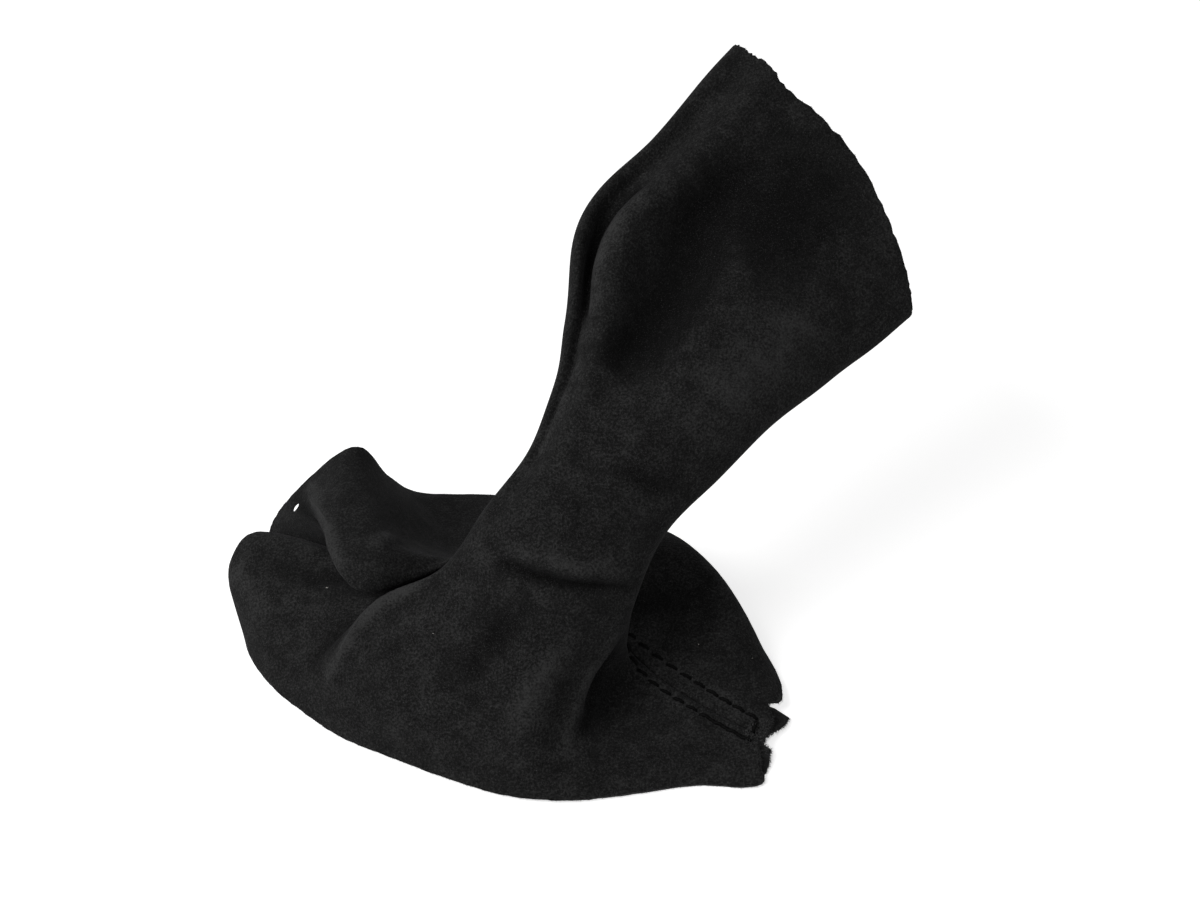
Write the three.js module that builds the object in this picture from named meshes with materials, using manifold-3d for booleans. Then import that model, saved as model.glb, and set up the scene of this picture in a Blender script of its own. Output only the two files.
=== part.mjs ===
// Gear lever gaiter: one suede panel, rolled into a tube and closed by a single seam whose
// allowances are opened flat and topstitched on both sides. It has a wide mouth, a narrow neck
// and a flared skirt. The skirt lies in folds on the table and the neck leans right and away.
// Millimetres, +Z up. The table top is Z = 0, +X is right and +Y is away.

import * as THREE from "three";
import { mergeVertices } from "three/addons/utils/BufferGeometryUtils.js";
import Module from "manifold-3d";

// Suede
const SUEDE_THICKNESS = 1.2;
const SEAM_GAP = 0.3; // between the two turned edges that meet at the seam
const TURNED_GAP = 0.3; // between the panel and the allowance turned under it
const ALLOWANCE_WIDTH = 9; // from the seam line to the allowance's cut edge
const TAB_LENGTH = 5; // the corner of one allowance that pokes out past the hem
const STRIP_LENGTH = 1.5; // the other allowance's edge that shows past the hem

// Threads
const THREAD_DIAMETER = 0.8;
const THREAD_CLEARANCE = 0.3; // between a thread and the suede
const ROW_TO_SEAM = 4.4; // from the seam line to a row of topstitching
const STITCH_END = 4; // from a row's last stitch to the hem or to the mouth

// Punched hole, in the wave of the hem at the back left
const HOLE_DIAMETER = 4;
const HOLE_TO_HEM = 8;
const HOLE_FOLD = 14.8; // where it lies, counted in folds round from the seam

// Mouth and waist, as they lie
const MOUTH_WIDTH = 105;
const MOUTH_DEPTH = 24;
const MOUTH_HEIGHT = 124; // of its middle above the table
const WAIST_WIDTH = 54;
const WAIST_DEPTH = 28;
const WAIST_HEIGHT = 52;

// Neck: cross-sections from the mouth down to the waist. Each has its centre, its width across
// the flattened sides and its depth between them. On the near wall the suede sinks in a broad
// dent, rises in a roll and sinks in a crease beside the left edge, and the flare is how much
// farther its right edge stands out.
const FLAT_SIDE_FACES = new THREE.Vector3(0, -0.77, 0.64);
const MOUTH = { centre: [105, 100, MOUTH_HEIGHT], width: MOUTH_WIDTH, depth: MOUTH_DEPTH, flare: 0 };
const WAIST = { centre: [19, -4, WAIST_HEIGHT], width: WAIST_WIDTH, depth: WAIST_DEPTH, flare: 0 };
const NECK = [
  { ...MOUTH, dent: 2, roll: 1, crease: 2 },
  { centre: [83, 81, 113], width: 95, depth: 28, flare: 3.8, dent: 5, roll: 1, crease: 4 },
  { centre: [65, 63, 103], width: 94, depth: 30, flare: 1.2, dent: 7, roll: 2, crease: 7 },
  { centre: [53, 39, 90], width: 72, depth: 30, flare: 0, dent: 5, roll: 1, crease: 6 },
  { centre: [43, 25, 79], width: 59, depth: 30, flare: 0, dent: 1, roll: 1, crease: 4 },
  { centre: [30, 10, 65], width: 49, depth: 28, flare: 0, dent: 0, roll: 1, crease: 3 },
  { ...WAIST, dent: 0, roll: 0, crease: 1 },
];
const MOUTH_ARC = 9.5; // how far the middle of the cut rim stands out past its two ends
const MOUTH_SLANT = 10; // how far the rim's left end stands out and its right end is drawn in
const CREASE_FOLD = 9;
const ROLL_FOLD = 8;
const DENT_FOLD = 7;

// Skirt: one line of points for each fold, running down from the waist to the hem, in order
// round the gaiter from the seam. The angle is where the fold leaves the waist.
const FOLDS = [
  { name: "seam", angle: -42, line: [[36, -5, 19], [46, -14, 12], [62, -25, 7], [83, -37, 3]] },
  { name: "right corner", angle: -22, line: [[38, -8, 20], [46, -20, 9], [63, -37, 4.5], [82, -52, 0.8]] },
  { name: "right flap", angle: -4, line: [[39, -11, 22], [41, -25, 7], [51, -41, 4.5], [60, -53, 0.6]] },
  { name: "right valley", angle: 14, line: [[39, -15, 26], [33, -27, 9], [34, -43, 4], [38, -57, 0.6]] },
  { name: "right ridge", angle: 34, line: [[38, -19, 32], [28, -29, 21], [23, -42, 10], [21, -59, 0.6]] },
  { name: "front right", angle: 56, line: [[27, -26, 37], [15, -38, 26], [9, -49, 14], [3, -57, 0.6]] },
  { name: "front", angle: 84, line: [[14, -26, 43], [2, -36, 29], [-5, -45, 15], [-14, -51, 0.6]] },
  { name: "front left", angle: 114, line: [[-1, -20, 47], [-19, -27, 31], [-29, -37, 16], [-36, -41, 0.6]] },
  { name: "left corner", angle: 134, line: [[-12, -14, 47], [-31, -19, 33], [-43, -28, 18], [-50, -34, 0.6]] },
  { name: "left ridge", angle: 150, line: [[-20, -7, 45], [-39, -10, 34], [-53, -17, 20], [-61, -26, 0.6]] },
  { name: "left lobe front", angle: 166, line: [[-23, -2, 38], [-48, -5, 26], [-66, -9, 13], [-77, -11, 0.6]] },
  { name: "left lobe side", angle: 178, line: [[-25, 2, 32], [-58, 5, 26], [-92, 20, 20], [-88, 10, 0.6]] },
  { name: "left lobe top", angle: 187, line: [[-25, 6, 28], [-50, 18, 27], [-87, 32, 26], [-87, 32, 0.6]] },
  { name: "hidden valley", angle: 194, line: [[-24, 11, 25], [-44, 25, 23], [-66, 40, 12], [-87, 51, 3]] },
  { name: "wave underside", angle: 201, line: [[-22, 12, 29], [-46, 18, 32], [-65, 37, 25], [-84, 55, 12]] },
  { name: "wave edge", angle: 208, line: [[-20, 11, 33], [-45, -4, 37], [-59, 22, 38], [-76, 55, 24]] },
  { name: "wave crest", angle: 216, line: [[-17, 15, 32], [-39, 12, 40], [-50, 42, 40], [-54, 62, 40]] },
  { name: "basin left", angle: 227, line: [[-11, 18, 26], [-31, 26, 27], [-40, 52, 25], [-45, 71, 19]] },
  { name: "basin", angle: 240, line: [[-5, 21, 24.5], [-18, 34, 15], [-27, 58, 8], [-36, 80, 3]] },
  { name: "back left", angle: 256, line: [[5, 22, 23], [1, 40, 12], [0, 63, 6], [-6, 81, 0.6]] },
  { name: "back right", angle: 274, line: [[14, 19, 23], [22, 37, 18], [30, 58, 10], [30, 74, 0.6]] },
  { name: "right lobe back", angle: 288, line: [[24, 14, 24], [43, 26, 25], [59, 33, 23], [64, 45, 0.6]] },
  { name: "right lobe", angle: 300, line: [[31, 4, 22], [50, 8, 21], [75, 9, 17], [86, 3, 0.6]] },
  { name: "right lobe front", angle: 310, line: [[34, -2, 20], [48, -4, 15], [74, -9, 11], [90, -20, 3]] },
];

// Fineness of the modelled surface
const COLUMNS = 70;
const ROWS = 32;
const HOLE_SIDES = 20;
const THREAD_SIDES = 6;
const TURN_DEGREES = [180, 135, 90, 45]; // round a turned edge, from the allowance to the panel

const wasm = await Module();
wasm.setup();

const suede = new THREE.MeshStandardMaterial({ color: 0x1c1c1c, roughness: 0.95, metalness: 0 });
const thread = new THREE.MeshStandardMaterial({ color: 0x0d0d0d, roughness: 0.6, metalness: 0 });

// The surface: rings round the gaiter, joined by lines that run down it

// How far the near wall sinks at a fold line of a neck section.
function sinkAt(section, fold) {
  if (fold === DENT_FOLD) return section.dent;
  if (fold === ROLL_FOLD) return -section.roll;
  if (fold === CREASE_FOLD) return section.crease;
  return 0;
}

// The points of one neck section, one for each fold line.
function neckRing(index) {
  const section = NECK[index];
  const above = new THREE.Vector3(...NECK[Math.max(index - 1, 0)].centre);
  const below = new THREE.Vector3(...NECK[Math.min(index + 1, NECK.length - 1)].centre);
  const axis = above.sub(below).normalize();
  const out = FLAT_SIDE_FACES.clone().projectOnPlane(axis).normalize();
  const across = new THREE.Vector3().crossVectors(axis, out);
  const atRim = index === 0;
  return FOLDS.map(({ angle }, fold) => {
    const turn = THREE.MathUtils.degToRad(angle);
    const toRight = Math.max(Math.cos(turn), 0);
    const rimRise = MOUTH_ARC * Math.sin(turn) ** 2 - MOUTH_SLANT * Math.cos(turn);
    return new THREE.Vector3(...section.centre)
      .addScaledVector(across, (section.width / 2) * Math.cos(turn) + section.flare * toRight ** 2)
      .addScaledVector(out, (section.depth / 2) * Math.sin(turn) - sinkAt(section, fold))
      .addScaledVector(axis, atRim ? rimRise : 0);
  });
}

function skirtRing(level) {
  return FOLDS.map(({ line }) => new THREE.Vector3(...line[level]));
}

const rings = [
  ...NECK.map((_, index) => neckRing(index)),
  ...FOLDS[0].line.map((_, level) => skirtRing(level)),
].map((points) => new THREE.CatmullRomCurve3(points, true, "centripetal"));

// The line down the gaiter at u, which runs from 0 at the seam round to 1 at the seam again.
const linesDown = new Map();
function lineDown(u) {
  const turn = u - Math.floor(u);
  if (!linesDown.has(turn)) {
    const points = rings.map((ring) => ring.getPoint(turn));
    linesDown.set(turn, new THREE.CatmullRomCurve3(points, false, "centripetal"));
  }
  return linesDown.get(turn);
}

const STEP = 1e-3; // for slopes, as a share of the way round or down

// The middle of the suede at (u, v), with v from 0 at the mouth to 1 at the hem. Past the hem it
// runs straight on.
function middle(u, v) {
  const line = lineDown(u);
  if (v <= 1) return line.getPoint(v);
  const hem = line.getPoint(1);
  return hem.addScaledVector(hem.clone().sub(line.getPoint(1 - STEP)), (v - 1) / STEP);
}

function slopeRound(u, v) {
  return middle(u + STEP, v).sub(middle(u - STEP, v)).divideScalar(2 * STEP);
}

function slopeDown(u, v) {
  const inside = THREE.MathUtils.clamp(v, STEP, 1 - STEP);
  return middle(u, inside + STEP).sub(middle(u, inside - STEP)).divideScalar(2 * STEP);
}

// The point at (u, v), raised along the outward normal.
function raised(u, v, height) {
  const normal = slopeRound(u, v).cross(slopeDown(u, v)).normalize();
  return middle(u, v).addScaledVector(normal, height);
}

// The share of the way round that lies a distance from the seam line, at this v.
function roundFromSeam(distance, v) {
  return distance / slopeRound(0, v).length();
}

// The share of the way down that lies a distance short of the hem, beside the seam or at u.
function downToHem(distance, u = 0) {
  return 1 - distance / slopeDown(u, 1).length();
}

// Solids

// A closed geometry from loops of points, one loop after another, with its two ends filled.
function loft(loops, ends) {
  const count = loops[0].length;
  const last = (loops.length - 1) * count;
  const index = ends.flatMap(([a, b, c]) => [a, b, c, last + a, last + c, last + b]);
  for (let i = 0; i + 1 < loops.length; i++)
    for (let j = 0; j < count; j++) {
      const here = i * count + j;
      const next = i * count + ((j + 1) % count);
      index.push(here, here + count, next, next, here + count, next + count);
    }
  return new THREE.BufferGeometry().setFromPoints(loops.flat()).setIndex(index);
}

function solidOf(geometry) {
  const mesh = new wasm.Mesh({
    numProp: 3,
    vertProperties: new Float32Array(geometry.getAttribute("position").array),
    triVerts: new Uint32Array(geometry.getIndex().array),
  });
  return new wasm.Manifold(mesh);
}

function geometryOf(solid) {
  const mesh = solid.getMesh();
  const geometry = new THREE.BufferGeometry();
  geometry.setAttribute("position", new THREE.BufferAttribute(mesh.vertProperties, 3));
  geometry.setIndex(new THREE.BufferAttribute(mesh.triVerts, 1));
  geometry.computeVertexNormals();
  return geometry;
}

// Panel: in cross-section it is a ribbon that starts at one allowance's cut edge, turns round at
// the seam, runs right round the gaiter and ends at the other allowance's cut edge.

const HALF = SUEDE_THICKNESS / 2;
const TURN_RADIUS = (SUEDE_THICKNESS + TURNED_GAP) / 2; // of the ribbon's middle at a turned edge
const TURN_START = SEAM_GAP / 2 + TURN_RADIUS + HALF; // from the seam line to where it turns under

// The nodes of one turned edge, in order from the allowance's cut edge to the first row of
// stitches. A node's face looks up and out by the cosine and sine that it holds.
function turnedEdge(side, [atCut, between, atRow]) {
  const flat = { height: -2 * TURN_RADIUS, up: -1, out: 0 };
  const turn = TURN_DEGREES.map((degrees) => {
    const angle = THREE.MathUtils.degToRad(degrees);
    return {
      distance: side * (TURN_START - TURN_RADIUS * Math.sin(angle)),
      height: TURN_RADIUS * (Math.cos(angle) - 1),
      up: Math.cos(angle),
      out: -side * Math.sin(angle),
      past: 0,
    };
  });
  return [
    { ...flat, distance: side * ALLOWANCE_WIDTH, past: atCut },
    { ...flat, distance: (side * (ALLOWANCE_WIDTH + ROW_TO_SEAM)) / 2, past: between },
    { ...flat, distance: side * ROW_TO_SEAM, past: atRow },
    ...turn,
    { distance: side * TURN_START, height: 0, up: 1, out: 0, past: 0 },
  ];
}

function ribbonNodes() {
  const strip = turnedEdge(1, [STRIP_LENGTH, STRIP_LENGTH, STRIP_LENGTH / 2]);
  const tab = turnedEdge(-1, [TAB_LENGTH, 0.8 * TAB_LENGTH, TAB_LENGTH / 4]);
  const round = Array.from({ length: COLUMNS + 1 }, (_, column) => ({ share: column / COLUMNS }));
  return [...strip, ...round, ...tab.reverse()];
}

// A point on the ribbon's outer face, at face 1, or on its inner face, at face -1.
function ribbonPoint(node, v, face) {
  if (node.share !== undefined) {
    const start = roundFromSeam(ROW_TO_SEAM, v);
    return raised(start + (1 - 2 * start) * node.share, v, face * HALF);
  }
  const u = roundFromSeam(node.distance + face * HALF * node.out, v);
  const reach = v === 1 ? downToHem(-node.past) : v;
  return raised(u, reach, node.height + face * HALF * node.up);
}

function panelSolid() {
  const nodes = ribbonNodes();
  const count = nodes.length;
  const loops = [];
  for (let row = 0; row <= ROWS; row++) {
    const outer = nodes.map((node) => ribbonPoint(node, row / ROWS, 1));
    const inner = nodes.map((node) => ribbonPoint(node, row / ROWS, -1));
    loops.push([...inner, ...outer.reverse()]);
  }
  const ends = nodes.slice(1).flatMap((_, j) => {
    const opposite = 2 * count - 1 - j;
    return [
      [j, j + 1, opposite],
      [j + 1, opposite - 1, opposite],
    ];
  });
  return solidOf(loft(loops, ends));
}

// The punch that makes the hole, square to the suede.
function punchSolid() {
  const u = HOLE_FOLD / FOLDS.length;
  const v = downToHem(HOLE_TO_HEM, u);
  const normal = raised(u, v, 1).sub(middle(u, v));
  const punch = new THREE.CylinderGeometry(
    HOLE_DIAMETER / 2,
    HOLE_DIAMETER / 2,
    4 * SUEDE_THICKNESS,
    HOLE_SIDES,
  );
  punch.applyQuaternion(new THREE.Quaternion().setFromUnitVectors(THREE.Object3D.DEFAULT_UP, normal));
  punch.translate(...middle(u, v));
  punch.deleteAttribute("normal");
  punch.deleteAttribute("uv");
  return solidOf(mergeVertices(punch));
}

// Threads: a tube beside the seam, or one that runs down a row, across and up the other row.

const OVER_PANEL = HALF + THREAD_CLEARANCE + THREAD_DIAMETER / 2;
const UNDER_ALLOWANCE = -2 * TURN_RADIUS - OVER_PANEL;

function threadLoop(placeAt) {
  return Array.from({ length: THREAD_SIDES }, (_, side) => {
    const angle = (2 * Math.PI * side) / THREAD_SIDES;
    return placeAt((THREAD_DIAMETER / 2) * Math.cos(angle), (THREAD_DIAMETER / 2) * Math.sin(angle));
  });
}

function fanEnds() {
  return Array.from({ length: THREAD_SIDES - 2 }, (_, side) => [0, side + 1, side + 2]);
}

function threadDown(distance, height, toHem = STITCH_END) {
  const stops = [STITCH_END / slopeDown(0, 0).length()];
  for (let row = 1; row < ROWS; row++) stops.push(row / ROWS);
  stops.push(downToHem(toHem));
  const loops = stops.map((v) =>
    threadLoop((aside, up) => raised(roundFromSeam(distance + aside, v), v, height + up)),
  );
  return solidOf(loft(loops, fanEnds()));
}

function threadAcross(height) {
  const v = downToHem(STITCH_END);
  const reach = slopeDown(0, 1).length();
  const loops = [ROW_TO_SEAM, 0, -ROW_TO_SEAM].map((distance) =>
    threadLoop((along, up) => raised(roundFromSeam(distance, v), v + along / reach, height + up)),
  );
  return solidOf(loft(loops, fanEnds()));
}

function threadRoundSeam(height) {
  const rows = threadDown(ROW_TO_SEAM, height).add(threadDown(-ROW_TO_SEAM, height));
  return rows.add(threadAcross(height));
}

// The closing seam's thread stops just short of the bobbin thread that crosses it.
const CLOSING_END = STITCH_END + THREAD_DIAMETER + THREAD_CLEARANCE;

const pieces = new THREE.Group();

function addPiece(name, solid, material) {
  const piece = new THREE.Mesh(geometryOf(solid), material);
  piece.name = name;
  pieces.add(piece);
}

addPiece("gaiter_panel", panelSolid().subtract(punchSolid()), suede);
addPiece("topstitch_needle_thread", threadRoundSeam(OVER_PANEL), thread);
addPiece("topstitch_bobbin_thread", threadRoundSeam(UNDER_ALLOWANCE), thread);
addPiece("closing_seam_thread", threadDown(0, UNDER_ALLOWANCE, CLOSING_END), thread);

// The gaiter's own frame has its origin on the table, under the middle of its overall box.
const box = new THREE.Box3().setFromObject(pieces);
pieces.position.set(...box.getCenter(new THREE.Vector3()).negate().setZ(-box.min.z));

const gaiter = new THREE.Group();
gaiter.add(pieces);

export default gaiter;
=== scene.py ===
import math
import bmesh
import bpy
import numpy as np
from mathutils import Matrix, Vector


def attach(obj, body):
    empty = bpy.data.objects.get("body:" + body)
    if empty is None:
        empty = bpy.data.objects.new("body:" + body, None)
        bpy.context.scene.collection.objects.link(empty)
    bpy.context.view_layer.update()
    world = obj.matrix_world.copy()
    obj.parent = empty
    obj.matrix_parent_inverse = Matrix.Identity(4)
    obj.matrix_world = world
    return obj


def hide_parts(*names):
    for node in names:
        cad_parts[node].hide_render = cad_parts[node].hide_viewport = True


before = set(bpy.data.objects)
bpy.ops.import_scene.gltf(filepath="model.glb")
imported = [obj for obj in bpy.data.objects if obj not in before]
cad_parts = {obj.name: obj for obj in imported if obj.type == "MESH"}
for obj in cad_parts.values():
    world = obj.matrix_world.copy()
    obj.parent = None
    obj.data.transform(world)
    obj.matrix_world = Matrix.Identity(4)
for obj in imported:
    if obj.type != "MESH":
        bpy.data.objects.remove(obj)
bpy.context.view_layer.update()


# Suede panel
# One piece of black split suede, rolled into a tube whose two long edges are turned in and
# sewn together. It lies in folds on its skirt, with the empty neck leaning right and away.

MM = 0.001
SUEDE_THICKNESS = 1.2
SEAM_GAP = 0.04  # drawn tight, so that no light shows through the seam
TURNED_GAP = 0.3  # between the panel and the allowance turned under it
ALLOWANCE_WIDTH = 9
ROW_TO_SEAM = 4.4
STITCH_END = 4  # from a row's last stitch to the hem
STITCH_PITCH = 5
TO_OWN_FRAME = np.array([-20.5961, -36.6264, 0.4978])  # from the points below to the part's frame

# Cross-sections of the neck from the mouth down to the waist: centre, width, depth, how much
# farther its right edge stands out, and how far its near wall sinks in a dent, rises in a roll
# and sinks in a crease.
NECK = [
    ((105, 100, 124), 105, 24, 0, 2, 1, 2),
    ((83, 81, 113), 95, 28, 3.8, 5, 1, 4),
    ((65, 63, 103), 94, 30, 1.2, 7, 2, 7),
    ((53, 39, 90), 72, 30, 0, 5, 1, 6),
    ((43, 25, 79), 59, 30, 0, 1, 1, 4),
    ((30, 10, 65), 49, 28, 0, 0, 1, 3),
    ((19, -4, 52), 54, 28, 0, 0, 0, 1),
]
FLAT_SIDE_FACES = np.array([0, -0.77, 0.64])
MOUTH_ARC = 9.5
MOUTH_SLANT = 10
DENT_FOLD, ROLL_FOLD, CREASE_FOLD = 7, 8, 9

# The folds of the skirt, in order round from the seam: the angle at which each leaves the
# waist, and its points down to the hem.
FOLDS = [
    (-42, (36, -5, 19), (46, -14, 12), (62, -25, 7), (83, -37, 3)),
    (-22, (38, -8, 20), (46, -20, 9), (63, -37, 4.5), (82, -52, 0.8)),
    (-4, (39, -11, 22), (41, -25, 7), (51, -41, 4.5), (60, -53, 0.6)),
    (14, (39, -15, 26), (33, -27, 9), (34, -43, 4), (38, -57, 0.6)),
    (34, (38, -19, 32), (28, -29, 21), (23, -42, 10), (21, -59, 0.6)),
    (56, (27, -26, 37), (15, -38, 26), (9, -49, 14), (3, -57, 0.6)),
    (84, (14, -26, 43), (2, -36, 29), (-5, -45, 15), (-14, -51, 0.6)),
    (114, (-1, -20, 47), (-19, -27, 31), (-29, -37, 16), (-36, -41, 0.6)),
    (134, (-12, -14, 47), (-31, -19, 33), (-43, -28, 18), (-50, -34, 0.6)),
    (150, (-20, -7, 45), (-39, -10, 34), (-53, -17, 20), (-61, -26, 0.6)),
    (166, (-23, -2, 38), (-48, -5, 26), (-66, -9, 13), (-77, -11, 0.6)),
    (178, (-25, 2, 32), (-58, 5, 26), (-92, 20, 20), (-88, 10, 0.6)),
    (187, (-25, 6, 28), (-50, 18, 27), (-87, 32, 26), (-87, 32, 0.6)),
    (194, (-24, 11, 25), (-44, 25, 23), (-66, 40, 12), (-87, 51, 3)),
    (201, (-22, 12, 29), (-46, 18, 32), (-65, 37, 25), (-84, 55, 12)),
    (208, (-20, 11, 33), (-45, -4, 37), (-59, 22, 38), (-76, 55, 24)),
    (216, (-17, 15, 32), (-39, 12, 40), (-50, 42, 40), (-54, 62, 40)),
    (227, (-11, 18, 26), (-31, 26, 27), (-40, 52, 25), (-45, 71, 19)),
    (240, (-5, 21, 24.5), (-18, 34, 15), (-27, 58, 8), (-36, 80, 3)),
    (256, (5, 22, 23), (1, 40, 12), (0, 63, 6), (-6, 81, 0.6)),
    (274, (14, 19, 23), (22, 37, 18), (30, 58, 10), (30, 74, 0.6)),
    (288, (24, 14, 24), (43, 26, 25), (59, 33, 23), (64, 45, 0.6)),
    (300, (31, 4, 22), (50, 8, 21), (75, 9, 17), (86, 3, 0.6)),
    (310, (34, -2, 20), (48, -4, 15), (74, -9, 11), (90, -20, 3)),
]


def unit(vector):
    """The vectors with their lengths made one."""
    return vector / np.linalg.norm(vector, axis=-1, keepdims=True)


def neck_ring(index):
    """A cross-section of the neck, as one point for each fold of the skirt."""
    centre, width, depth, flare, dent, roll, crease = NECK[index]
    above = np.array(NECK[max(index - 1, 0)][0], float)
    below = np.array(NECK[min(index + 1, len(NECK) - 1)][0], float)
    axis = unit(above - below)
    out = unit(FLAT_SIDE_FACES - axis * (FLAT_SIDE_FACES @ axis))
    across = np.cross(axis, out)
    turn = np.radians([fold[0] for fold in FOLDS])[:, None]
    sink = np.zeros_like(turn)
    sink[DENT_FOLD], sink[ROLL_FOLD], sink[CREASE_FOLD] = dent, -roll, crease
    rise = MOUTH_ARC * np.sin(turn) ** 2 - MOUTH_SLANT * np.cos(turn) if index == 0 else 0
    reach = width / 2 * np.cos(turn) + flare * np.maximum(np.cos(turn), 0) ** 2
    place = np.array(centre) + across * reach
    return place + out * (depth / 2 * np.sin(turn) - sink) + axis * rise


RINGS = [neck_ring(index) for index in range(len(NECK))]
RINGS += [np.array([fold[level] for fold in FOLDS], float) for level in range(1, 5)]


def through(points, place, closed):
    """The places on a smooth curve through the points, where place counts the points."""
    count = len(points)
    first = np.clip(np.floor(place).astype(int), 0, count - 1 - (not closed))
    share = (place - first)[:, None]
    each = np.arange(len(place)) if points.shape[1] > 1 else np.zeros(len(place), int)

    def point(index):
        return points[index % count if closed else np.clip(index, 0, count - 1), each]

    before, start, end, after = (point(first + step) for step in (-1, 0, 1, 2))
    if not closed:
        before = np.where((first == 0)[:, None], 2 * start - end, before)
        after = np.where((first == count - 2)[:, None], 2 * end - start, after)
    gap_in, gap, gap_out = (
        np.maximum(np.linalg.norm(b - a, axis=1, keepdims=True), 1e-6) ** 0.5
        for a, b in ((before, start), (start, end), (end, after))
    )
    leave = (start - before) / gap_in - (end - before) / (gap_in + gap) + (end - start) / gap
    enter = (end - start) / gap - (after - start) / (gap + gap_out) + (after - end) / gap_out
    s2, s3 = share**2, share**3
    return (
        start * (2 * s3 - 3 * s2 + 1)
        + end * (3 * s2 - 2 * s3)
        + gap * leave * (s3 - 2 * s2 + share)
        + gap * enter * (s3 - s2)
    )


STEP = 1e-3  # for slopes, as a share of the way round or down


def smooth_sheet(u, v):
    """The suede's middle at u, round from the seam, and v, down from the mouth, without wrinkles."""
    rings = np.stack([through(ring[:, None], (u % 1) * len(FOLDS), True) for ring in RINGS])
    place = through(rings, np.clip(v, 0, 1) * (len(RINGS) - 1), False)
    hem = through(rings, np.full(len(u), (1 - STEP) * (len(RINGS) - 1)), False)
    return place + (place - hem) * (np.maximum(v - 1, 0) / STEP)[:, None] + TO_OWN_FRAME


def normal_on(sheet, u, v):
    """The outward normals of a sheet, which is a function of u and v."""
    inside = np.clip(v, STEP, 1 - STEP)
    round_slope = sheet(u + STEP, v) - sheet(u - STEP, v)
    down_slope = sheet(u, inside + STEP) - sheet(u, inside - STEP)
    return unit(np.cross(round_slope, down_slope))


# Fine wrinkles, each a soft groove or, where its depth is below nought, a soft ridge: its
# depth, its half-width, and its path in folds round and rings down.
WRINKLES = [
    (2.8, 2.0, (7.6, 6.45), (6.7, 6.45), (5.8, 6.33), (4.9, 6.1), (3.3, 5.83)),
    (-1.3, 2.8, (7.8, 6.2), (6.7, 6.2), (5.8, 6.08), (4.9, 5.84), (3.8, 5.62)),
    (1.2, 2.6, (6.5, 4.58), (5.3, 4.6), (4.0, 4.42)),
    (1.5, 5.0, (6.4, 6.7), (6.57, 7.25), (6.47, 7.83), (6.52, 8.42)),
    (-1.2, 5.0, (5.6, 6.9), (5.4, 7.6), (5.3, 8.3), (5.3, 9.0)),
    (-2.4, 2.0, (9.0, 6.9), (9.0, 7.5), (8.97, 8.17), (8.82, 8.75), (8.87, 9.6)),
    (1.9, 2.8, (9.7, 7.4), (9.6, 8.0), (9.5, 8.7), (9.5, 9.3)),
    (-1.2, 2.4, (15.7, 8.1), (16.0, 8.08), (16.43, 8.08), (16.6, 7.9)),
    (-2.4, 2.0, (15.4, 9.95), (15.25, 9.6), (15.15, 9.2), (15.1, 8.7), (15.1, 8.3)),
    (2.8, 3.2, (15.05, 9.95), (14.9, 9.5), (14.75, 9.1), (14.7, 8.7)),
    (-0.9, 2.0, (8.66, 2.92), (8.5, 3.5), (8.71, 4.08), (8.82, 4.58), (8.77, 5.5)),
    (2.6, 2.2, (8.5, 1.35), (8.7, 1.75), (8.85, 2.1), (8.92, 2.5), (8.75, 3.0)),
    (-1.6, 3.4, (8.2, 1.5), (8.3, 2.1), (8.45, 2.5), (8.35, 3.1)),
    (5.4, 8.0, (7.0, 0.6), (6.83, 1.33), (6.6, 1.8), (6.52, 2.3), (6.7, 2.85), (7.3, 3.6)),
    (2.4, 15.0, (6.8, 0.1), (6.2, 0.6), (6.1, 1.1), (6.3, 1.5)),
    (-1.2, 10.0, (5.0, 0.9), (4.9, 2.2), (5.0, 3.1), (5.1, 3.9)),
    (-1.8, 2.4, (4.5, 6.6), (4.25, 7.3), (4.12, 8.0), (4.12, 8.7), (4.17, 9.5)),
    (2.2, 3.2, (3.7, 6.9), (3.66, 7.6), (3.68, 8.3), (3.74, 9.0)),
    (1.4, 8.0, (3.2, 7.2), (3.3, 7.9), (3.5, 8.5)),
    (-1.0, 5.0, (11.4, 8.9), (11.0, 8.8), (10.7, 8.8), (10.3, 9.0)),
    (0.8, 3.0, (11.6, 7.4), (11.4, 8.0), (11.2, 8.5)),
    (-0.7, 4.0, (12.2, 7.8), (12.0, 8.5), (11.8, 9.1)),
    (0.9, 4.0, (20.6, 7.2), (20.7, 8.0), (20.6, 8.8)),
    (-0.8, 5.0, (19.0, 7.4), (19.2, 8.2), (19.2, 9.0)),
    (1.2, 5.0, (22.0, 7.3), (22.1, 8.0), (22.1, 8.8)),
    (-1.0, 2.6, (13.5, 4.2), (14.6, 4.3), (15.6, 4.15), (16.6, 4.4)),
    (1.6, 2.4, (13.3, 4.6), (14.6, 4.75), (15.7, 4.6), (16.8, 4.8)),
    (1.3, 6.0, (17.5, 1.0), (18.0, 1.8), (17.6, 2.7)),
    (1.1, 3.0, (19.5, 5.7), (20.5, 5.6), (21.4, 5.9)),
    (-0.9, 4.0, (19.5, 2.2), (20.2, 3.0), (20.4, 3.9)),
]
PATH_POINTS = 14
FADE = 0.7  # how bluntly a wrinkle ends
SHORTEST_WAY = 80  # the gaiter is nowhere shorter than this, round or down


def path_places(path):
    """A wrinkle's path as points (u, v), evenly spread between its corners."""
    path = np.array(path, float)
    steps = np.linspace(0, len(path) - 1, PATH_POINTS)
    corners = np.arange(len(path))
    folds, rings = (np.interp(steps, corners, path[:, axis]) for axis in (0, 1))
    return folds / len(FOLDS), rings / (len(RINGS) - 1)


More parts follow.
